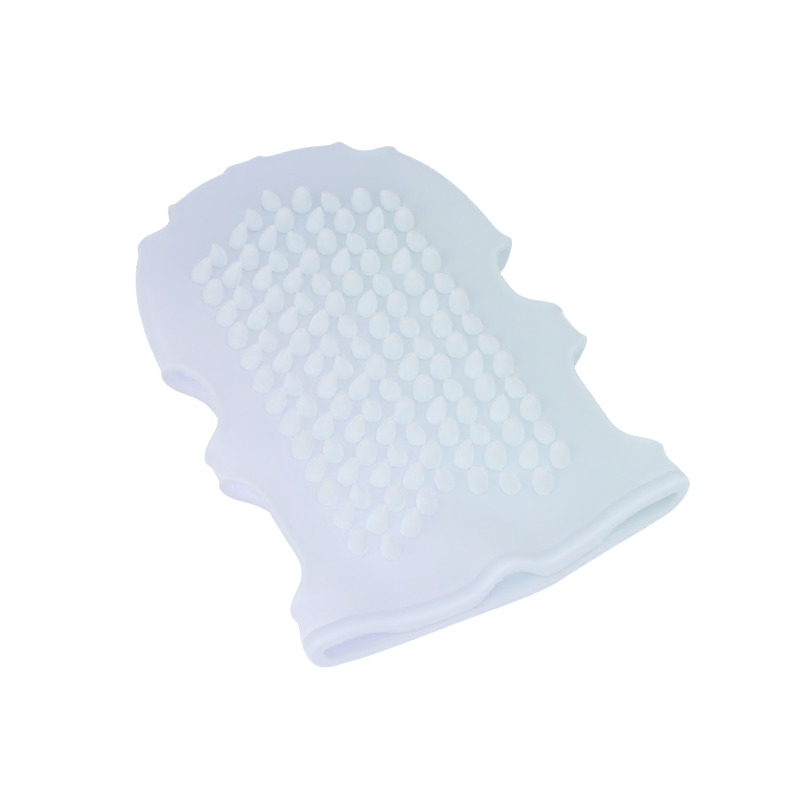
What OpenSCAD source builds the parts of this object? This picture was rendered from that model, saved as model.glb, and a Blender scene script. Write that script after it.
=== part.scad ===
// Two-finger toothbrush for a pet: a soft flat sleeve, open at one end, with nine columns of
// bristles on its front. Millimetres. +X is across the sleeve, +Y points to its fingertip end,
// +Z is up, out of the bristles. The origin is on the table, under the middle of the whole box.

/* [Sleeve] */
// Length over the tip and the mouth
sleeve_len = 68.2; // [62:0.1:76]
// Width of the body just past the curved tip
body_w = 44.7; // [42:0.1:50]
// Width of the body where it reaches the mouth
cuff_w = 46; // [43:0.1:52]
// Thickness over both sheets
sleeve_h = 5; // [4.4:0.1:6]
// Thickness of one sheet
wall = 1.1; // [0.8:0.05:1.4]
// Radius of the dish across the sleeve, which lifts both side folds
dish_r_across = 75; // [65:1:110]
// Radius of the dish along the sleeve, which lifts the tip and the mouth
dish_r_along = 350; // [300:5:600]
// Depth of the patch that lies flat on a table
rest_depth = 0.15; // [0.1:0.01:0.3]

/* [Tip] */
// Length of the curved tip, from the straight sides to its end
tip_len = 29.6; // [26:0.1:33]
// How square the curved tip is, where 2 is a true ellipse
tip_squareness = 2.55; // [2.2:0.05:3]
// Half the width of the shallow notch at the end of the tip
apex_half_w = 2; // [1:0.1:3]
// Depth of the shallow notch at the end of the tip
apex_notch = 0.7; // [0.3:0.05:0.9]
// Distance from the middle to the start of a shoulder window
shoulder_in = 12.1; // [10:0.1:13]
// Distance from the middle to the end of a shoulder window
shoulder_out = 16.9; // [16:0.1:18]

/* [Side windows] */
// Tip end of the first window
win1_tip = 7.4; // [6:0.1:10]
// Mouth end of the first window
win1_mouth = -4.6; // [-6:0.1:-3]
// Tip end of the second window
win2_tip = -9.6; // [-11:0.1:-8]
// Mouth end of the second window
win2_mouth = -27.1; // [-28:0.1:-25]
// Width of the sheets between two windows
win_neck_w = 38.2; // [37:0.1:40]
// Radius in the corners of a window
win_corner_r = 3; // [2:0.1:3.5]

/* [Mouth] */
// Length of the thick lip along the sleeve
lip_len = 2.4; // [1.8:0.1:3]
// How far the lip stands out of the sleeve
lip_proud = 0.45; // [0.3:0.05:0.8]
// Thickness of the lip
lip_t = 2.1; // [1.6:0.05:2.2]

/* [Bristles] */
// Distance between neighbours in one column
bristle_pitch = 3.5; // [3.2:0.05:3.8]
// Distance between neighbouring columns
column_pitch = 3.2; // [3:0.05:3.4]
// Bristles in a full column
bristle_count = 14; // [10:1:15]
// Height of a bristle over the sheet
bristle_h = 3.2; // [2.4:0.1:4]
// Diameter of a bristle at its widest
bristle_d = 2.45; // [2:0.05:2.6]
// Diameter of the blunt end of a bristle
bristle_tip_d = 0.9; // [0.6:0.05:1.2]
// Angle of the bristles that lean
lean_deg = 9; // [0:1:14]
// Centre of the bristle field, along the sleeve
field_y = -0.5; // [-1.5:0.1:0.5]

/* [Hidden] */

milky = [0.86, 0.89, 0.92];
milky_fold = [0.80, 0.84, 0.88];
milky_lip = [0.83, 0.87, 0.90];
milky_bristle = [0.91, 0.93, 0.95];

half_len = sleeve_len / 2;
mouth_y = -half_len;
lip_y = mouth_y + lip_len;
fold_r = sleeve_h / 2;
tip_y0 = half_len - tip_len;
half_w0 = body_w / 2;
side_slope = (cuff_w - body_w) / 2 / (tip_y0 - mouth_y);
dish_top_z = dish_r_along + sleeve_h / 2 - rest_depth;
column_count = 9;
middle_column = (column_count - 1) / 2;
bristle_root = 0.25;
arc_steps = 10;
shell_fn = 256;
dish_fn = 1440;
dish_sweep = 16;

// Height of the surface that lies h above the middle of the sleeve's thickness
function surf_z(p, h) =
    dish_top_z - sqrt(pow(dish_r_along - dish_r_across
        + sqrt(pow(dish_r_across - h, 2) - p[0] * p[0]), 2) - p[1] * p[1]);

// A point of the outline on the curved tip. a = 90 is its end, a = 0 is where the straight side starts
function tip_edge(a) =
    [half_w0 * pow(cos(a), 2 / tip_squareness), tip_y0 + tip_len * pow(sin(a), 2 / tip_squareness)];
// A point of the outline on the straight side
function side_edge(y) = [half_w0 + side_slope * (tip_y0 - y), y];
function unit(v) = v / norm(v);
function tip_normal(p) =
    unit([pow(p[0] / half_w0, tip_squareness - 1) / half_w0,
          pow((p[1] - tip_y0) / tip_len, tip_squareness - 1) / tip_len]);
side_normal = unit([1, side_slope]);
// The parameter of the curved tip at a distance x from the middle, and at a place y along the sleeve
function tip_at_x(x) = acos(pow(x / half_w0, tip_squareness / 2));
function tip_at_y(y) = asin(pow((y - tip_y0) / tip_len, tip_squareness / 2));

// Each station is the outline's point and its outward direction, seen from above
function tip_stations(a0, a1, steps) =
    [for (i = [0:steps]) let (p = tip_edge(a0 + (a1 - a0) * i / steps)) [p, tip_normal(p)]];
function side_stations(y0, y1, steps) =
    [for (i = [0:steps]) [side_edge(y0 + (y1 - y0) * i / steps), side_normal]];
function fold_line(stations, inset) = [for (s = stations) s[0] - s[1] * inset];

// The rounded fold as a C-shaped ring of points round one station of the fold line
function fold_ring(s, proud, thick) =
    let (
        p = s[0] - s[1] * fold_r,
        top = surf_z(p, fold_r + proud),
        low = surf_z(p, -fold_r - proud),
        in_top = surf_z(p, fold_r + proud - thick),
        in_low = surf_z(p, -fold_r - proud + thick),
        out = fold_r + proud,
        in = out - thick
    )
    concat(
        [for (k = [0:arc_steps]) let (a = 90 - 180 * k / arc_steps)
            concat(p + s[1] * out * cos(a), (top + low) / 2 + (top - low) / 2 * sin(a))],
        [for (k = [0:arc_steps]) let (a = -90 + 180 * k / arc_steps)
            concat(p + s[1] * in * cos(a), (in_top + in_low) / 2 + (in_top - in_low) / 2 * sin(a))]
    );

// Sweeps rings of equal length into one closed solid
module swept(rings) {
    n = len(rings[0]);
    m = len(rings);
    half = n / 2;
    skin = [for (j = [0:m - 2], i = [0:n - 1]) let (a = j * n + i, b = j * n + (i + 1) % n)
        [a, b, b + n, a + n]];
    caps = [for (e = [0, (m - 1) * n], i = [0:half - 2])
        e == 0
            ? [e + i, e + n - 1 - i, e + n - 2 - i, e + i + 1]
            : [e + i, e + i + 1, e + n - 2 - i, e + n - 1 - i]];
    tris = [for (f = concat(skin, caps)) each [[f[0], f[1], f[2]], [f[0], f[2], f[3]]]];
    polyhedron(points = [for (r = rings) each r], faces = tris);
}

module fold(stations, proud = 0, thick = wall) {
    swept([for (s = stations) fold_ring(s, proud, thick)]);
}

// Everything on the hollow side of the surface that lies h above the middle of the sleeve
module dish(h) {
    translate([0, 0, dish_top_z])
        rotate([0, 90, 0])
            rotate_extrude(angle = dish_sweep, start = -dish_sweep / 2, $fn = dish_fn)
                translate([dish_r_along - dish_r_across, 0])
                    circle(r = dish_r_across - h, $fn = shell_fn);
}

// The layer between two of those surfaces
module layer(low, high) {
    difference() {
        dish(low);
        dish(high);
    }
}

// Half of the sheets' outline inside the folds, from the middle of the tip down to the lip
function sheet_edge() = concat(
    fold_line(tip_stations(90, 0.01, 36), fold_r),
    fold_line(side_stations(tip_y0, lip_y, 6), fold_r)
);

module window_2d(tip_end, mouth_end) {
    r = win_corner_r;
    x0 = win_neck_w / 2;
    translate([x0 + r, mouth_end])
        square([sleeve_h, tip_end - mouth_end]);
    translate([x0, mouth_end + r])
        square([sleeve_h, tip_end - mouth_end - 2 * r]);
    for (y = [mouth_end + r, tip_end - r])
        translate([x0 + r, y])
            circle(r = r, $fn = 48);
}

module sheet_2d() {
    edge = sheet_edge();
    difference() {
        polygon(concat(edge, [for (i = [len(edge) - 1:-1:1]) [-edge[i][0], edge[i][1]]]));
        for (side = [0, 1])
            mirror([side, 0, 0]) {
                window_2d(win1_tip, win1_mouth);
                window_2d(win2_tip, win2_mouth);
            }
    }
}

module sheet(low, high) {
    intersection() {
        translate([0, 0, -sleeve_h])
            linear_extrude(height = 4 * sleeve_h)
                sheet_2d();
        layer(low, high);
    }
}

module front_panel() {
    color(milky)
        sheet(fold_r - wall, fold_r);
}

// The back sheet, with the patch under its middle that a table presses flat
module back_panel() {
    color(milky)
        difference() {
            sheet(-fold_r, -fold_r + wall);
            translate([-body_w, -sleeve_len, -sleeve_h])
                cube([2 * body_w, 2 * sleeve_len, sleeve_h]);
        }
}

module lip(low, high) {
    a = fold_line(side_stations(lip_y, mouth_y, 1), fold_r);
    color(milky_lip)
        intersection() {
            translate([0, 0, -sleeve_h])
                linear_extrude(height = 4 * sleeve_h)
                    polygon([a[0], a[1], [-a[1][0], a[1][1]], [-a[0][0], a[0][1]]]);
            layer(low, high);
        }
}

module front_lip() { lip(fold_r + lip_proud - lip_t, fold_r + lip_proud); }
module back_lip() { lip(-fold_r - lip_proud, -fold_r - lip_proud + lip_t); }

module right_or_left(right) {
    mirror([right ? 0 : 1, 0, 0])
        children();
}

module mouth_fold(right) {
    color(milky_lip)
        right_or_left(right)
            fold(side_stations(lip_y, mouth_y, 2), lip_proud, lip_t);
}

module cuff_web(right) {
    color(milky_fold)
        right_or_left(right)
            fold(side_stations(win2_mouth, lip_y, 3));
}

module waist_web(right) {
    color(milky_fold)
        right_or_left(right)
            fold(side_stations(win1_mouth, win2_tip, 3));
}

module side_web(right) {
    color(milky_fold)
        right_or_left(right)
            fold(tip_stations(tip_at_x(shoulder_out), tip_at_y(win1_tip), 16));
}

module tip_web(right) {
    color(milky_fold)
        right_or_left(right)
            fold(tip_stations(tip_at_x(apex_half_w), tip_at_x(shoulder_in), 12));
}

module apex_web() {
    right = tip_stations(89.99, tip_at_x(apex_half_w), 3);
    left = [for (i = [len(right) - 1:-1:0]) [for (v = right[i]) [-v[0], v[1]]]];
    both = concat(left, [for (i = [1:len(right) - 1]) right[i]]);
    color(milky_fold)
        fold(both, -apex_notch / 2, wall - apex_notch / 2);
}

// Outline of half a bristle: a soft foot, a slight belly and a blunt end
module bristle_profile() {
    r = bristle_d / 2;
    h = bristle_h;
    e = bristle_tip_d / 2;
    polygon([
        [0, -bristle_root],
        [r * 0.96, -bristle_root],
        [r * 0.98, h * 0.14],
        [r, h * 0.28],
        [r * 0.95, h * 0.44],
        [r * 0.83, h * 0.60],
        [r * 0.64, h * 0.77],
        [e + 0.12, h * 0.91],
        [e * 0.6, h * 0.985],
        [0, h]
    ]);
}

// Bristles lean one way, stand straight and lean the other way in turn, mirrored about the middle
function lean(c, k) =
    let (odd_column = c % 2, from_tip = k < bristle_count / 2 ? k : k + 1)
    (from_tip % 2 == odd_column ? 1 : 0) * (odd_column == 0 ? 1 : -1) * lean_deg;

module bristle_column(number) {
    c = number - 1;
    x = (c - middle_column) * column_pitch;
    first = abs(c - middle_column) / 2;
    n = abs(c - middle_column) == middle_column ? bristle_count - 1 : bristle_count;
    color(milky_bristle)
        for (k = [0:n - 1]) {
            y = field_y - (first + k - (bristle_count + 1) / 2) * bristle_pitch;
            translate([x, y, surf_z([x, y], fold_r)])
                rotate([asin(y / dish_r_along), lean(c, k) - asin(x / dish_r_across), 0])
                    rotate_extrude($fn = 32)
                        bristle_profile();
        }
}

front_panel();
back_panel();
front_lip();
back_lip();
mouth_fold(false);  // mouth_fold_left
mouth_fold(true);  // mouth_fold_right
cuff_web(false);  // cuff_web_left
cuff_web(true);  // cuff_web_right
waist_web(false);  // waist_web_left
waist_web(true);  // waist_web_right
side_web(false);  // side_web_left
side_web(true);  // side_web_right
tip_web(false);  // tip_web_left
tip_web(true);  // tip_web_right
apex_web();
for (c = [1:column_count])
    bristle_column(c);
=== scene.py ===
"""Two-finger toothbrush for a pet: looks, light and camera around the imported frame.

Shapes are worked out in millimetres and turned to metres when a mesh is made.
The sleeve is drawn on an unrolled sheet with two coordinates: s runs along the outline from the
middle of the tip to the mouth, and eta runs across it from the crest of the side fold, positive
over the front sheet and negative under the back one. Depth goes inwards from the outer face.
"""
import math

import bmesh
import bpy
import numpy as np
from mathutils import Matrix, Vector


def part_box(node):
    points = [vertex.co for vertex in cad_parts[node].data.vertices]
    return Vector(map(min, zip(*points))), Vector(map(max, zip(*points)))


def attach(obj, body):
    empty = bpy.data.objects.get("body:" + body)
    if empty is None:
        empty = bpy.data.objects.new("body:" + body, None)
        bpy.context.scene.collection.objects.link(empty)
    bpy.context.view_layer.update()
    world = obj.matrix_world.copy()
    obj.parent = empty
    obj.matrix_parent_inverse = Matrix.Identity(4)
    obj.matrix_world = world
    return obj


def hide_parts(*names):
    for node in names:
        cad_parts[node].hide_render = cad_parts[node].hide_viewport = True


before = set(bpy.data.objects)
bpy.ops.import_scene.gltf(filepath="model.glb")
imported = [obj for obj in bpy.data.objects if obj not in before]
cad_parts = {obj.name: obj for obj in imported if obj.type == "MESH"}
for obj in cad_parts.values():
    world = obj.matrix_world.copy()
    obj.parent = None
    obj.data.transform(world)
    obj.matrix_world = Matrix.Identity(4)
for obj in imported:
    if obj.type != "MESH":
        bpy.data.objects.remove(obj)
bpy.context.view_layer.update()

MM = 0.001


def box_mm(name):
    """Lowest and highest corners of a CAD node, in millimetres"""
    return [[value / MM for value in corner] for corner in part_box(name)]


# ---------------------------------------------------------------- sizes

NOTCH_DEPTH = 0.35    # from the curve of the tip to the web in its notch
LONGER = 0.5          # by which the second window reaches further towards the mouth than its web
TIP_Y = box_mm("apex_web")[1][1] + NOTCH_DEPTH
MOUTH_Y = box_mm("front_lip")[0][1]
LIP_Y = box_mm("front_lip")[1][1]
LIP_LEN = LIP_Y - MOUTH_Y
WINDOW_1 = (box_mm("side_web_right")[0][1], box_mm("waist_web_right")[1][1])
WINDOW_2 = (box_mm("waist_web_right")[0][1], box_mm("cuff_web_right")[1][1] - LONGER)

FOLD_R = 2.5          # half the thickness over both sheets, and the radius of the side folds
WALL = 1.1
LIP_T = 2.1
LIP_PROUD = 0.45
DISH_ACROSS = 75.0    # the two radii of the shallow dish that the whole sleeve follows
DISH_ALONG = 350.0
REST_DEPTH = 0.15     # of the patch that lies flat on the floor
DISH_TOP_Z = DISH_ALONG + FOLD_R - REST_DEPTH
TIP_LEN = 29.6
TIP_START = TIP_Y - TIP_LEN
TIP_POWER = 2.55      # of the curved tip's outline: 2 would be a true ellipse
HALF_W = 22.35
SPREAD_OUT = 0.65     # how much further out each fold lies at the mouth
SIDE_SLOPE = SPREAD_OUT / (TIP_START - MOUTH_Y)
SPINE_TOP = 19.0      # the middle line that the ribs run to, from here down to the mouth
SPINE_KNEE = 6.0      # past here towards the tip the ribs fan out, and before it they run across
FOLD_END = FOLD_R * math.pi / 2
BAND = 8.0            # eta up to which the grid runs square to the outline

FIELD_Y = -0.5        # the middle of the bristle field along the sleeve
SHOULDER_X = 14.6     # where the round shoulder hole is centred
SHOULDER_R = 3.5
APEX_R = 2.0
WINDOW_1_HALF = 5.1   # half the widths of the side windows on the unrolled sheet
WINDOW_2_HALF = 5.4


# ---------------------------------------------------------------- the unrolled sheet

def outline_table():
    """Arc length, point and outward direction along the right half of the outline"""
    a = np.radians(np.linspace(90, 0, 1200))
    power = 2 / TIP_POWER
    x = HALF_W * np.clip(np.cos(a), 0, 1) ** power
    y = TIP_START + TIP_LEN * np.sin(a) ** power
    nx = (x / HALF_W) ** (TIP_POWER - 1) / HALF_W
    ny = ((y - TIP_START) / TIP_LEN) ** (TIP_POWER - 1) / TIP_LEN
    side_y = np.linspace(TIP_START, MOUTH_Y, 200)[1:]
    x = np.append(x, HALF_W + SIDE_SLOPE * (TIP_START - side_y))
    y = np.append(y, side_y)
    nx = np.append(nx, np.ones(len(side_y)))
    ny = np.append(ny, np.full(len(side_y), SIDE_SLOPE))
    x[0] = 0
    nx[0] = 0
    size = np.hypot(nx, ny)
    s = np.append(0, np.cumsum(np.hypot(np.diff(x), np.diff(y))))
    return {"s": s, "x": x, "y": y, "nx": nx / size, "ny": ny / size}


OUTLINE = outline_table()
S_END = OUTLINE["s"][-1]


def along(key, s):
    """A column of the outline's table, at s"""
    return np.interp(s, OUTLINE["s"], OUTLINE[key])


def s_at_y(y):
    """Where the outline passes y"""
    return float(np.interp(-y, -OUTLINE["y"], OUTLINE["s"]))


def s_at_x(x):
    """Where the curved tip's outline passes x"""
    tip = OUTLINE["y"] > TIP_START
    return float(np.interp(x, OUTLINE["x"][tip], OUTLINE["s"][tip]))


def surf_z(x, y, h):
    """Height of the surface that lies h above the middle of the sleeve's thickness"""
    arm = DISH_ALONG - DISH_ACROSS + np.sqrt((DISH_ACROSS - h) ** 2 - x * x)
    return DISH_TOP_Z - np.sqrt(arm * arm - y * y)


def smooth(t):
    """Grows softly from 0 to 1 as t does"""
    t = np.clip(t, 0, 1)
    return t * t * (3 - 2 * t)


def spine_y(s):
    """Where the rib that starts at s meets the middle line"""
    y = along("y", s)
    fan = (SPINE_TOP - SPINE_KNEE) / (TIP_Y - SPINE_KNEE)
    return np.where(y > SPINE_KNEE, SPINE_KNEE + (y - SPINE_KNEE) * fan, y)


def rib_length(s):
    """Distance from the edge of the band to the middle line"""
    reach = FOLD_R + BAND - FOLD_END
    x = along("x", s) - along("nx", s) * reach
    y = along("y", s) - along("ny", s) * reach
    return np.hypot(x, y - spine_y(s))


SAG_FROM_Y = -17.0    # where the sheets start to sag, and the length over which it grows
SAG_LEN = 15.0
BACK_SAG = -0.1       # of the back sheet, which gives way a little
FOLD_SAG = 0.5        # of the front sheet beside the folds
LIP_PRESS = 1.75      # how much further it sags where the lips lie together
PRESS_FROM_X = 18.5   # where that starts, coming from a fold, and the width over which it grows
PRESS_WIDTH = 7.0
EYE_LIFT = 2.1        # how far the front lip stands up over the eye in the middle
EYE_FROM_X = 3.7
EYE_WIDTH = 2.7
EYE_FROM_Y = -25.0
EYE_LEN = 8.0


def pinch(x, y, front):
    """How far a sheet sags towards the other one near the mouth, where the lips lie together but
    for a small eye in the middle and a slit at each fold"""
    near = smooth((SAG_FROM_Y - y) / SAG_LEN)
    if not front:
        return BACK_SAG * near
    press = smooth((PRESS_FROM_X - np.abs(x)) / PRESS_WIDTH)
    eye = smooth((EYE_FROM_X - np.abs(x)) / EYE_WIDTH) * smooth((EYE_FROM_Y - y) / EYE_LEN)
    return near * (FOLD_SAG + LIP_PRESS * press) - EYE_LIFT * eye


def place(s, eta, depth):
    """Point of the sleeve's sheet, on the right half"""
    s, eta, depth = np.broadcast_arrays(s, eta, depth)
    h = FOLD_R - depth
    turn = np.clip(eta, -FOLD_END, FOLD_END) / FOLD_R
    inset = np.clip(np.abs(eta), FOLD_END, BAND) - FOLD_END
    far = np.clip((np.abs(eta) - BAND) / rib_length(s), 0, 1)
    out = h * np.cos(turn) - FOLD_R - inset
    x = (along("x", s) + along("nx", s) * out) * (1 - far)
    y = (along("y", s) + along("ny", s) * out) * (1 - far) + spine_y(s) * far
    top = surf_z(x, y, h)
    low = surf_z(x, y, -h)
    shift = np.where(eta > 0, pinch(x, y, True), pinch(x, y, False)) * np.sin(np.abs(turn))
    z = (top + low) / 2 + (top - low) / 2 * np.sin(turn) - shift * np.sign(eta)
    return np.stack([x, y, z], axis=-1)


# ---------------------------------------------------------------- openings through the folds

WINDOW_BEAD = 0.35


def opening(s_mid, straight, radius, bead, back=0.0):
    """A hole: its middle, half its straight length, its end radius, the height of the bead round
    it, and how far its middle line lies to the back of the fold's crest"""
    edge = radius + WALL / 2
    return {"mid": s_mid, "straight": straight, "edge": edge, "bead": bead, "back": back}


def window(ends, half, back):
    """A long opening between two places along the sleeve, with its bead"""
    s0 = s_at_y(ends[0])
    s1 = s_at_y(ends[1])
    return opening((s0 + s1) / 2, (s1 - s0) / 2 - half, half, WINDOW_BEAD, back)


OPENINGS = [
    opening(0.0, 0.0, APEX_R, 0.55),
    opening(s_at_x(SHOULDER_X), 0.0, SHOULDER_R, 0.4),
    window(WINDOW_1, WINDOW_1_HALF, 0.3),
    window(WINDOW_2, WINDOW_2_HALF, 0.85),
]
ROUND_REACH = 1.42    # how far round an opening the grid bends, in radii
BEAD_WIDTH = 0.42     # of the raised bead round an opening
BEAD_LINES = (0.3, 0.6)  # distances of the extra grid lines round an opening
SHIFT_FROM = 6.0      # eta beyond which a window's shift to the back fades out
SHIFT_LEN = 2.4       # and the length past a window's end over which it does
STATION_STEP = 0.95   # spacing of the grid lines along s, and of those across the band
BAND_STEP = 0.8
INTO_LIP = 0.6        # share of the lip's length that is left beyond the end of the sheet in it
RAMP_LINES = (0.1, 0.6, 1.2)  # distances of the extra grid lines before the lip


def bend_grid(s, eta):
    """Turns the square grid lines round each opening into its rounded edge, and gives the height
    of the bead there"""
    bead = 0.0
    for hole in OPENINGS:
        edge = hole["edge"]
        ds = s - hole["mid"]
        u = np.maximum(np.abs(ds) - hole["straight"], 0) / edge
        v = eta / edge
        square = np.maximum(u, np.abs(v))
        radial = np.maximum(np.hypot(u, v), 1e-9)
        weight = 1 - smooth((square - 1) / (ROUND_REACH - 1))
        pull = np.where(square > 1e-9, (square / radial) ** weight, 1)
        inside = (u > 0) & (square < ROUND_REACH)
        new_s = hole["mid"] + np.sign(ds) * (hole["straight"] + edge * u * pull)
        s = np.where(inside, new_s, s)
        eta = np.where(inside, eta * pull, eta)
        beyond = np.maximum(np.abs(s - hole["mid"]) - hole["straight"], 0)
        away = np.maximum(np.hypot(beyond, eta) - edge, 0)
        bead = bead + hole["bead"] * np.exp(-((away / BEAD_WIDTH) ** 2))
    for hole in OPENINGS:
        past = np.maximum(np.abs(s - hole["mid"]) - hole["straight"] - hole["edge"], 0)
        share = smooth(1 - past / SHIFT_LEN) * smooth((BAND - np.abs(eta)) / (BAND - SHIFT_FROM))
        eta = eta - hole["back"] * share
    return s, eta, bead


def hole_direction(hole, s, eta):
    """From a point on an opening's edge towards its middle line"""
    ds = np.clip(s, hole["mid"] - hole["straight"], hole["mid"] + hole["straight"]) - s
    de = -eta - hole["back"]
    size = np.hypot(ds, de)
    return ds / size, de / size


def station_lines():
    """Values of s that the grid follows, with one line on each end of each opening"""
    last = S_END - LIP_LEN * INTO_LIP
    marks = {0.0, last} | {S_END - LIP_LEN - more for more in RAMP_LINES}
    for hole in OPENINGS:
        for side in (-1, 1):
            for more in (0,) + BEAD_LINES:
                marks.add(hole["mid"] + side * (hole["straight"] + hole["edge"] + more))
            marks.add(hole["mid"] + side * hole["straight"])
        marks.add(hole["mid"])
    marks = sorted(m for m in marks if 0 <= m <= last)
    lines = [0.0]
    for low, high in zip(marks, marks[1:]):
        if high - low < 1e-6:
            continue
        steps = max(1, round((high - low) / STATION_STEP))
        lines += [low + (high - low) * k / steps for k in range(1, steps + 1)]
    return np.array(lines)


def eta_lines():
    """Lines across the fold, from the crest to the band's edge, with one on each opening's edge"""
    marks = {0.0, BAND}
    for hole in OPENINGS:
        marks |= {round(hole["edge"] + more, 3) for more in (0,) + BEAD_LINES}
    marks = sorted(marks)
    lines = [0.0]
    for low, high in zip(marks, marks[1:]):
        steps = max(1, round((high - low) / BAND_STEP))
        lines += [low + (high - low) * k / steps for k in range(1, steps + 1)]
    return np.array(lines)


RIB_STEPS = 14        # grid spaces along a rib, and round an opening's rim
RIM_STEPS = 5
LIP_RING = 18         # points round the lip's profile
LIP_SQUARE = 0.62     # power of the lip's profile: 1 would be an ellipse, less is squarer
LIP_RAMP = 0.8        # how much of the lip's height the sheet climbs before it
LIP_FILLET = 1.1      # length of that climb
# How much more painted glow than the plain sheet each place has, where the lining has 1. The glow is
# emission that stands in for light let through the wall
FOLD_PAINTED_GLOW = 1.2      # at the crest of a fold, fading out at the eta that follows
FOLD_PAINTED_GLOW_ETA = 11.0
FIELD_PAINTED_GLOW = -0.25   # in the bristle field, which paints the sheet darker between the bristles
RIM_PAINTED_GLOW = 0.35      # at the start of an opening's rim
FIELD_HALF = (16.0, 26.5)  # half that field's width and length, and the widths of its soft edge
FIELD_EDGE = (2.5, 3.0)
LINING_FROM_Y = -27.0  # the lining gets no painted glow up to here from the mouth, and its full painted glow past the fade
LINING_FADE = 4.0


def across_values(s):
    """Eta at each grid line, from the front's middle line round the fold to the back's"""
    near = eta_lines()
    far = BAND + rib_length(s) * np.arange(1, RIB_STEPS + 1) / RIB_STEPS
    half = np.append(near, far)
    return np.append(half[::-1], -half[1:])


class Builder:
    """Collects points, quads and how much more painted glow than the sheet each point has"""

    def __init__(self):
        self.points = []
        self.faces = []
        self.painted_glow = []

    def add(self, points, painted_glow=0.0):
        """Adds points and gives the number of the first one"""
        start = len(self.points)
        points = np.asarray(points).reshape(-1, 3)
        self.points.extend(points)
        self.painted_glow.extend(np.broadcast_to(np.ravel(painted_glow), len(points)))
        return start

    def strip(self, first, second, closed=False):
        """Joins two rows of points with quads"""
        count = len(first)
        for k in range(count if closed else count - 1):
            m = (k + 1) % count
            self.faces.append((first[k], first[m], second[m], second[k]))


def hole_border(i0, i1, j0, j1):
    """Grid places round an opening's edge. One that starts on the middle line stays open there."""
    up = [(i, j0) for i in range(i0, i1)]
    across = [(i1, j) for j in range(j0, j1)]
    down = [(i, j1) for i in range(i1, i0, -1)]
    back = [(i0, j) for j in range(j1, j0, -1)]
    if i0 == 0:
        return up + across + down + [(0, j1)], False
    return up + across + down + back, True


def sleeve_mesh():
    """Right half of the sleeve's sheet: outer face, inner face, rims of the openings, mouth edge"""
    s_lines = station_lines()
    eta = np.array([across_values(s) for s in s_lines])
    s = np.repeat(s_lines[:, None], eta.shape[1], axis=1)
    s, eta, bead = bend_grid(s, eta)
    before_lip = np.maximum(S_END - LIP_LEN - s, 0)
    bead = bead + LIP_RAMP * LIP_PROUD * np.exp(-((before_lip / LIP_FILLET) ** 2))
    rows, cols = s.shape
    mid = (cols - 1) // 2
    build = Builder()
    face = place(s, eta, -bead)
    # Painted glow: less where the bristles stand, which darkens the sheet between them, and more along
    # the folds
    field = smooth((FIELD_HALF[0] - np.abs(face[..., 0])) / FIELD_EDGE[0]) * (eta > 0)
    field = field * smooth((FIELD_HALF[1] - np.abs(face[..., 1] - FIELD_Y)) / FIELD_EDGE[1])
    painted_glow = FOLD_PAINTED_GLOW * smooth(1 - np.abs(eta) / FOLD_PAINTED_GLOW_ETA) + FIELD_PAINTED_GLOW * field
    outer = build.add(face, painted_glow) + np.arange(rows * cols).reshape(rows, cols)
    # The lining gets painted glow too, fading out towards the mouth
    lining = place(s, eta, WALL)
    inner = build.add(lining, smooth((lining[..., 1] - LINING_FROM_Y) / LINING_FADE))
    inner = inner + np.arange(rows * cols).reshape(rows, cols)
    near = eta_lines()
    solid = np.ones((rows - 1, cols - 1), bool)
    for hole in OPENINGS:
        reach = hole["straight"] + hole["edge"]
        i0 = int(np.argmin(np.abs(s_lines - max(hole["mid"] - reach, 0))))
        i1 = int(np.argmin(np.abs(s_lines - hole["mid"] - reach)))
        half = int(np.argmin(np.abs(near - hole["edge"])))
        solid[i0:i1, mid - half:mid + half] = False
        border, closed = hole_border(i0, i1, mid - half, mid + half)
        bi = np.array([b[0] for b in border])
        bj = np.array([b[1] for b in border])
        ds, de = hole_direction(hole, s[bi, bj], eta[bi, bj])
        loops = [list(outer[bi, bj])]
        thick = WALL + hole["bead"]
        for k in range(1, RIM_STEPS):
            angle = math.pi * k / RIM_STEPS
            push = WALL / 2 * math.sin(angle)
            depth = WALL - thick * (1 + math.cos(angle)) / 2
            ring = place(s[bi, bj] + ds * push, eta[bi, bj] + de * push, depth)
            # Painted glow on the rim, rising from the outer face's share to the lining's
            start = build.add(ring, RIM_PAINTED_GLOW + (1 - RIM_PAINTED_GLOW) * k / RIM_STEPS)
            loops.append(list(range(start, start + len(border))))
        loops.append(list(inner[bi, bj]))
        for first, second in zip(loops, loops[1:]):
            build.strip(first, second, closed)
    for i in range(rows - 1):
        for j in range(cols - 1):
            if solid[i, j]:
                build.faces.append((outer[i, j], outer[i, j + 1], outer[i + 1, j + 1], outer[i + 1, j]))
                build.faces.append((inner[i, j], inner[i + 1, j], inner[i + 1, j + 1], inner[i, j + 1]))
    build.strip(list(outer[-1]), list(inner[-1]))
    return build


def lip_mesh():
    """Right half of the thick bead round the mouth: one closed profile carried round the fold"""
    angle = 2 * math.pi * np.arange(LIP_RING) / LIP_RING
    ahead = np.cos(angle)
    out = np.sin(angle)
    s = S_END - LIP_LEN / 2 + LIP_LEN / 2 * np.sign(ahead) * np.abs(ahead) ** LIP_SQUARE
    depth = LIP_T / 2 - LIP_PROUD - LIP_T / 2 * np.sign(out) * np.abs(out) ** LIP_SQUARE
    # Painted glow: none on the faces towards the pocket, and full on the back lip and the ends of both,
    # which takes out the shade under the front lip
    outside = smooth((out + 0.85) / 0.6)
    end = smooth(ahead + 0.4)
    values = np.array([across_values(one) for one in s])
    build = Builder()
    loops = []
    for column in values.T:
        back = smooth(0.5 - column / BAND)
        start = build.add(place(s, column, depth), outside * np.maximum(back, end))
        loops.append(list(range(start, start + LIP_RING)))
    for first, second in zip(loops, loops[1:]):
        build.strip(first, second, closed=True)
    return build


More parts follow.
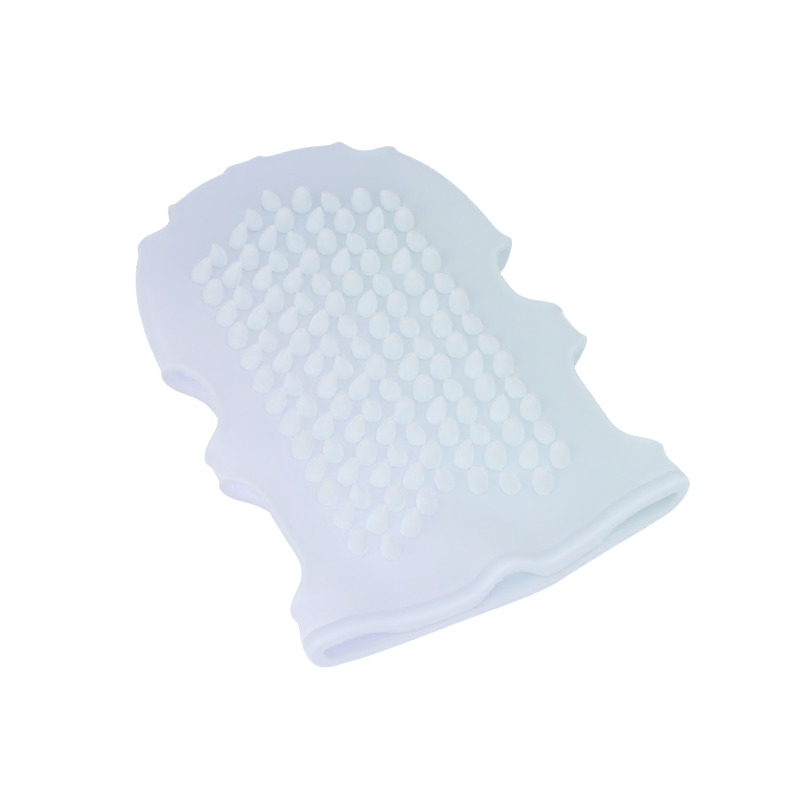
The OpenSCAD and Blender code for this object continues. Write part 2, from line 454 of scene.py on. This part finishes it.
# The soft sleeve's own unevenness, in millimetres. Plus is to the right and towards the tip.
FLARE_OUT = 0.55      # the right-hand fold at the tip end of each window: outwards, and to the mouth
FLARE_DOWN = 0.7
WAIST_SHIFT = 0.3     # the waist between the windows: aside, and wider by a share of x
WAIST_WIDER = 0.007
WINDOW_SHIFT = -0.1   # beside the second window
LEFT_IN = 0.22        # the left-hand side along the upper half
CUFF_NARROWER = 0.014
EYE_ASIDE = 0.9       # the mouth's middle, and its steeper right-hand end
EYE_END_ASIDE = 0.8
MOUTH_SHIFT = -0.4    # the whole mouth
TIP_FLAT = 0.42       # the outline between the tip's openings, and more of it on the left
TIP_FLAT_LEFT = 0.2
MOUTH_ASKEW = 0.014   # turn of the mouth, as a share of x
EYE_BACK = 0.8        # the front lip over the eye, and over each slit
SLIT_BACK = 0.8
BACK_LIP_OUT = 0.7    # the back lip under the eye
LEFT_SLIT_UP = 0.35


def bump(value, middle, width):
    """A soft hump that is 1 in the middle"""
    return math.exp(-(((value - middle) / width) ** 2))


def rise(value, start, length):
    """Grows softly from 0 at start to 1 after length, downwards if that is negative"""
    return float(smooth((value - start) / length))


def settle(x, y, z):
    """The soft sleeve's own unevenness: its mouth bulges and lies askew, the right-hand fold
    stands out where a window ends it, and the tip is a little flatter between its holes"""
    mouth = rise(y, -22, -12)
    front = rise(z - surf_z(x, y, 0), -1.5, 1)
    fold = rise(x, 19, 2)
    tip = rise(y, 18, 8)
    left = rise(x, 0, -15)
    flare = sum(bump(y, ends[0] - 0.4, 1.6) for ends in (WINDOW_1, WINDOW_2))
    dx = FLARE_OUT * fold * flare + (WAIST_SHIFT + WAIST_WIDER * x) * bump(y, -7, 3)
    dx += WINDOW_SHIFT * bump(y, -18, 6) + LEFT_IN * left * rise(y, -5, 12)
    dx += MOUTH_SHIFT * rise(y, -28, -5) - CUFF_NARROWER * x * bump(y, -24, 5)
    dx += mouth * (EYE_ASIDE * bump(x, 0, 6) + EYE_END_ASIDE * bump(x, 4, 2.5))
    dy = -FLARE_DOWN * fold * flare
    dy -= tip * (TIP_FLAT * bump(abs(x), 11.5, 3.8) + TIP_FLAT_LEFT * bump(x, -11, 5))
    dy += mouth * (MOUTH_ASKEW * x - BACK_LIP_OUT * (1 - front) * bump(x, 3.5, 7))
    dy += mouth * front * (EYE_BACK * bump(x, 0, 3.2) + SLIT_BACK * bump(abs(x), 14.5, 5))
    dz = LEFT_SLIT_UP * mouth * front * rise(x, -12, -5)
    return x + dx, y + dy, max(z + dz, 0.0)


def make_piece(name, build, mirrored=False):
    """Turns points in millimetres into a smooth mesh object in metres"""
    mesh = bpy.data.meshes.new(name)
    bm = bmesh.new()
    # Each point's share of the painted glow goes to an attribute that the material reads
    layer = bm.verts.layers.float.new("painted_glow_share")
    sides = (1, -1) if mirrored else (1,)
    for side in sides:
        places = [Vector(settle(p[0] * side, p[1], p[2])) * MM for p in build.points]
        verts = [bm.verts.new(p) for p in places]
        for vert, painted_glow in zip(verts, build.painted_glow):
            vert[layer] = painted_glow
        for face in build.faces:
            corners = [verts[k] for k in face]
            if len(set(corners)) == len(corners):
                bm.faces.new(corners)
    loose = [v for v in bm.verts if not v.link_faces]
    bmesh.ops.delete(bm, geom=loose, context="VERTS")
    bmesh.ops.remove_doubles(bm, verts=bm.verts, dist=1e-6)
    # A point that only two edges meet in lies in the middle of a side that the halves share
    pairs = [v for v in bm.verts if len(v.link_edges) == 2]
    bmesh.ops.dissolve_verts(bm, verts=pairs)
    bmesh.ops.recalc_face_normals(bm, faces=bm.faces)
    for face in bm.faces:
        face.smooth = True
    bm.to_mesh(mesh)
    bm.free()
    piece = bpy.data.objects.new(name, mesh)
    bpy.context.scene.collection.objects.link(piece)
    sub = piece.modifiers.new("Smooth mould", "SUBSURF")
    sub.levels = 1
    sub.render_levels = 1
    return piece


# ---------------------------------------------------------------- bristles

BRISTLE_H = 3.2
BRISTLE_R = 1.24
DRAWN_ASIDE = 0.74    # how far the end of a leaning bristle lies from its middle
PITCH = 3.5
COLUMN_PITCH = 3.2
COLUMNS = 9
FULL_COUNT = 14
SEED = 7
SPREAD = 0.03         # how much the bristles' heights and radii differ, as a share
STRAY = 0.1           # how far the end of an upright bristle lies from its middle
UPRIGHT_R = 1.02      # radius of an upright bristle and of a leaning one, as shares
LEANING_R = 0.96
CURVE = 1.2           # power of a leaning bristle's curve: 1 would be straight
ROLL = 0.05           # how much the outer side of a leaning bristle is drawn out, as a share
BRISTLE_RING = 16
# Height and radius as shares of the full size: foot, then belly, shoulder and blunt end
FOOT = [(-0.10, 0.93), (0.00, 0.97), (0.03, 0.93), (0.12, 0.95), (0.25, 0.98)]
UPRIGHT = [(0.40, 0.97), (0.55, 0.89), (0.69, 0.78), (0.82, 0.67), (0.92, 0.55), (0.98, 0.35)]
LEANING = [(0.40, 0.90), (0.55, 0.77), (0.69, 0.63), (0.82, 0.49), (0.92, 0.37), (0.98, 0.22)]


def tip_side(column, k):
    """-1 where a bristle's end is drawn to the left, 1 to the right, and 0 where it is upright"""
    first = k % 2 == (1 if k >= FULL_COUNT // 2 else 0)
    if column in (1, 3):
        return -1 if first else 1
    if column in (0, 2):
        return 1 if first else 0
    if column in (5, 7):
        return 0 if first else 1
    return -1 if first else 0


def bristle_points(column, k, x, rng):
    """Rings of one bristle, from its foot under the sheet's face to its blunt end"""
    y = FIELD_Y - (abs(column - 4) / 2 + k - (FULL_COUNT + 1) / 2) * PITCH
    base = np.array([x, y, float(surf_z(x, y, FOLD_R) - pinch(x, y, True))])
    up = Vector((-x / DISH_ACROSS, -y / DISH_ALONG, 1)).normalized()
    right = Vector((1, 0, 0)) - up * up.x
    right.normalize()
    ahead = up.cross(right)
    side = tip_side(column, k)
    height = BRISTLE_H * rng.uniform(1 - SPREAD, 1 + SPREAD)
    radius = BRISTLE_R * rng.uniform(1 - SPREAD, 1 + SPREAD) * (LEANING_R if side else UPRIGHT_R)
    lean = side * DRAWN_ASIDE if side else rng.uniform(-STRAY, STRAY)
    rings = []
    for level, share in FOOT + (LEANING if side else UPRIGHT):
        shift = lean * max(level, 0) ** CURVE
        ring = []
        for m in range(BRISTLE_RING):
            a = 2 * math.pi * m / BRISTLE_RING
            across = radius * share * math.cos(a) + shift
            depth = radius * share * math.sin(a)
            up_by = height * (level + ROLL * side * max(level, 0) ** 2 * math.cos(a))
            ring.append(base + np.array(right * across + ahead * depth + up * up_by))
        rings.append(ring)
    tip = base + np.array(right * lean * 1.02 + up * height)
    return rings, tip


def bristle_column(number):
    """One column of bristles, from the tip to the mouth"""
    column = number - 1
    x = (column - 4) * COLUMN_PITCH
    count = FULL_COUNT - (1 if column in (0, COLUMNS - 1) else 0)
    rng = np.random.default_rng(SEED + number)
    build = Builder()
    for k in range(count):
        rings, tip = bristle_points(column, k, x, rng)
        loops = []
        for ring in rings:
            start = build.add(ring)
            loops.append(list(range(start, start + len(ring))))
        for first, second in zip(loops, loops[1:]):
            build.strip(first, second, closed=True)
        top = build.add([tip])
        last = loops[-1]
        for m in range(len(last)):
            build.faces.append((last[m], last[(m + 1) % len(last)], top))
        build.faces.append(tuple(reversed(loops[0])))
    return build


# ---------------------------------------------------------------- materials

CLOUD_SIZE = 14.3     # of the patches in which the sheet is thicker or thinner
GRAIN_SIZE = 0.154    # of the grain that the blasted mould leaves
GRAIN_DEPTH = 0.02
SIDE_X = 24.0         # where the tints of the left and the right side are reached
END_Y = 34.0          # and that of the tip, which starts at TIP_TINT_Y
TIP_TINT_Y = 12.0
SCATTER = (1.0, 1.15, 1.3)  # how far red, green and blue light spread in the silicone
SILICONE_IOR = 1.41


def linear(hex_colour):
    """sRGB hex to a linear colour with full alpha"""
    parts = [int(hex_colour[k:k + 2], 16) / 255 for k in (1, 3, 5)]
    return [p / 12.92 if p <= 0.04045 else ((p + 0.055) / 1.055) ** 2.4 for p in parts] + [1.0]


def add(tree, kind, settings=(), links=()):
    """Adds a node, sets its properties or sockets, and links its inputs"""
    made = tree.nodes.new(kind)
    for key, value in dict(settings).items():
        if hasattr(made, str(key)):
            setattr(made, key, value)
        else:
            made.inputs[key].default_value = value
    for key, source in dict(links).items():
        tree.links.new(source, made.inputs[key])
    return made


def moulded_silicone(name, left, right, tip, painted_glow, roughness):
    """Milky moulded silicone: light sinks in and softens every edge, over a satin skin. The argument
    before roughness gives the painted glow, an emission that stands in for light let through the wall,
    at the tip and at the mouth, and how much more the lining has."""
    material = bpy.data.materials.new(name)
    material.use_nodes = True
    tree = material.node_tree
    tree.nodes.clear()
    place_at = add(tree, "ShaderNodeTexCoord").outputs["Object"]
    # Thick and thin places cloud the sheet in patches about 14 mm across
    clouds = add(tree, "ShaderNodeTexNoise",
                 {"Scale": 1 / (CLOUD_SIZE * MM), "Detail": 2.0, "Roughness": 0.45},
                 {"Vector": place_at})
    split = add(tree, "ShaderNodeSeparateXYZ", {}, {"Vector": place_at})
    # Across the sleeve the colour runs from the left tint to the right one: a lavender to green hue,
    # and on the sheet and the lip a darker right tint, which is painted shade on the right side
    across = add(tree, "ShaderNodeMapRange",
                 {"From Min": -SIDE_X * MM, "From Max": SIDE_X * MM, "To Min": -0.1,
                  "To Max": 1.1},
                 {"Value": split.outputs["X"]})
    blend = add(tree, "ShaderNodeMath", {"operation": "MULTIPLY_ADD", 1: 0.5},
                {0: clouds.outputs["Fac"], 2: across.outputs["Result"]})
    share = add(tree, "ShaderNodeMapRange",
                {"From Min": 0.1, "From Max": 1.4, "To Min": 0.0, "To Max": 1.0},
                {"Value": blend.outputs["Value"]})
    sides = add(tree, "ShaderNodeMix",
                {"data_type": "RGBA", 6: linear(left), 7: linear(right)},
                {0: share.outputs["Result"]})
    # Painted shade: from 12 mm up to the fingertip end the colour turns partly to the tip tint, which
    # darkens the tip
    tip_painted_shade = add(tree, "ShaderNodeMapRange",
                  {"From Min": TIP_TINT_Y * MM, "From Max": END_Y * MM, "To Min": 0.0,
                   "To Max": 0.7},
                  {"Value": split.outputs["Y"]})
    tint = add(tree, "ShaderNodeMix", {"data_type": "RGBA", 7: linear(tip)},
               {0: tip_painted_shade.outputs["Result"], 6: sides.outputs[2]})
    # The blasted mould leaves a satin grain of about 0.15 mm
    grain = add(tree, "ShaderNodeTexNoise",
                {"Scale": 1 / (GRAIN_SIZE * MM), "Detail": 3.0, "Roughness": 0.6},
                {"Vector": place_at})
    relief = add(tree, "ShaderNodeBump", {"Strength": 0.08, "Distance": GRAIN_DEPTH * MM},
                 {"Height": grain.outputs["Fac"]})
    # Painted glow: an emission that stands in for light let through the thin wall, rising from the tip
    # to the mouth, plus each point's own share from the mesh
    painted_glow_along = add(tree, "ShaderNodeMapRange",
                     {"From Min": END_Y * MM, "From Max": -END_Y * MM, "To Min": painted_glow[0],
                      "To Max": painted_glow[1]},
                     {"Value": split.outputs["Y"]})
    inside = add(tree, "ShaderNodeAttribute", {"attribute_name": "painted_glow_share"})
    painted_glow_strength = add(tree, "ShaderNodeMath", {"operation": "MULTIPLY_ADD", 1: painted_glow[2]},
               {0: inside.outputs["Fac"], 2: painted_glow_along.outputs["Result"]})
    shader = add(tree, "ShaderNodeBsdfPrincipled", {
        "Roughness": roughness,
        "IOR": SILICONE_IOR,
        "Subsurface Weight": 1.0,
        "Subsurface Radius": SCATTER,
        "Subsurface Scale": MM,
        "Emission Color": linear("#E6EBF4"),
    }, {"Base Color": tint.outputs[2], "Normal": relief.outputs["Normal"],
        "Emission Strength": painted_glow_strength.outputs["Value"]})
    add(tree, "ShaderNodeOutputMaterial", {}, {"Surface": shader.outputs["BSDF"]})
    return material


def pale_floor():
    """Matt white diffuser lit from behind, which takes the shadow from under the sleeve"""
    material = bpy.data.materials.new("lit_diffuser")
    material.use_nodes = True
    shader = material.node_tree.nodes["Principled BSDF"]
    shader.inputs["Base Color"].default_value = linear("#FCFCFD")
    shader.inputs["Roughness"].default_value = 0.9
    shader.inputs["Emission Color"].default_value = linear("#FFFFFF")
    shader.inputs["Emission Strength"].default_value = 0.5
    return material


# Each material gets left, right and tip tints, then the painted glow at the tip, at the mouth and on
# the lining. The darker right tints of the sheet and lip and the darker tip tints are painted shade
SHEET = moulded_silicone("moulded_silicone_sheet", "#EDEBF5", "#DBE7E5", "#DEE4F0",
                         (0.10, 0.195, 0.05), 0.42)
LIP = moulded_silicone("moulded_silicone_lip", "#EAEBF7", "#DEEAE9", "#DEE4F0",
                       (0.10, 0.155, 0.11), 0.40)
BRISTLE = moulded_silicone("moulded_silicone_bristle", "#EEF1F4", "#EBF2EF", "#E6EDF2",
                           (0.13, 0.17, 0.0), 0.40)


# ---------------------------------------------------------------- pieces

def finish_piece(piece, material, nodes):
    """Gives a piece its material, hangs it from the root body and hides the CAD nodes that it stands
    for
    """
    piece.data.materials.append(material)
    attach(piece, "root")
    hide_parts(*nodes)
    return piece


finish_piece(
    make_piece("sleeve", sleeve_mesh(), mirrored=True), SHEET,
    ["front_panel", "back_panel", "cuff_web_left", "cuff_web_right", "waist_web_left",
     "waist_web_right", "side_web_left", "side_web_right", "tip_web_left", "tip_web_right",
     "apex_web"])
finish_piece(
    make_piece("mouth_lip", lip_mesh(), mirrored=True), LIP,
    ["front_lip", "back_lip", "mouth_fold_left", "mouth_fold_right"])
for number in range(1, COLUMNS + 1):
    finish_piece(
        make_piece(f"bristles_{number}", bristle_column(number)), BRISTLE,
        [f"bristle_column_{number}"])


# ---------------------------------------------------------------- floor, light and camera

FLOOR_HALF = 0.9      # in metres, like the lamps' places and sizes below
CAMERA_AIM = (1.37, -5.76, 3.13)
CAMERA_DISTANCE = 255.5


def floor():
    """Plain pale floor for the sleeve to lie on"""
    mesh = bpy.data.meshes.new("floor")
    corners = [(-FLOOR_HALF, -FLOOR_HALF, 0), (FLOOR_HALF, -FLOOR_HALF, 0),
               (FLOOR_HALF, FLOOR_HALF, 0), (-FLOOR_HALF, FLOOR_HALF, 0)]
    mesh.from_pydata(corners, [], [(0, 1, 2, 3)])
    piece = bpy.data.objects.new("floor", mesh)
    piece.data.materials.append(pale_floor())
    # Its glow only whitens the background: the sleeve is lit evenly, from below as from above
    piece.visible_diffuse = False
    bpy.context.scene.collection.objects.link(piece)


def soft_light(name, aim, azimuth, elevation, distance, size, watts):
    """A round soft box that faces a point"""
    data = bpy.data.lights.new(name, "AREA")
    data.shape = "DISK"
    data.size = size
    data.energy = watts
    lamp = bpy.data.objects.new(name, data)
    lamp.matrix_world = look(aim, azimuth, elevation, distance)
    bpy.context.scene.collection.objects.link(lamp)


def look(aim, azimuth, elevation, distance):
    """Pose of a camera or lamp that faces a point. Azimuth 0 looks along +Y."""
    az = math.radians(azimuth)
    el = math.radians(elevation)
    back = Vector((math.sin(az) * math.cos(el), -math.cos(az) * math.cos(el), math.sin(el)))
    right = Vector((math.cos(az), math.sin(az), 0))
    up = back.cross(right)
    turn = Matrix((right, up, back)).transposed().to_4x4()
    return Matrix.Translation(aim + back * distance) @ turn


def camera():
    """Looks down at the sleeve from beyond its mouth and a little to the left"""
    data = bpy.data.cameras.new("camera")
    data.lens = 100
    data.sensor_width = 36
    data.clip_start = 0.01
    made = bpy.data.objects.new("camera", data)
    aim = Vector(CAMERA_AIM) * MM
    made.matrix_world = look(aim, azimuth=-27.0, elevation=53.4, distance=CAMERA_DISTANCE * MM)
    bpy.context.scene.collection.objects.link(made)
    bpy.context.scene.camera = made


def soft_studio():
    """Even pale surroundings with one soft box overhead and a weaker one on the left"""
    world = bpy.data.worlds.new("studio")
    world.use_nodes = True
    back = world.node_tree.nodes["Background"]
    back.inputs["Color"].default_value = linear("#F2F5FF")
    back.inputs["Strength"].default_value = 0.52
    bpy.context.scene.world = world
    middle = Vector((0, 0, 0.005))
    soft_light("overhead", middle, azimuth=20, elevation=78, distance=0.6, size=0.5, watts=0.5)
    soft_light("left_key", middle, azimuth=-75, elevation=42, distance=0.6, size=0.35, watts=0.3)
    bpy.context.scene.view_settings.view_transform = "Standard"


floor()
soft_studio()
camera()

bpy.context.view_layer.update()
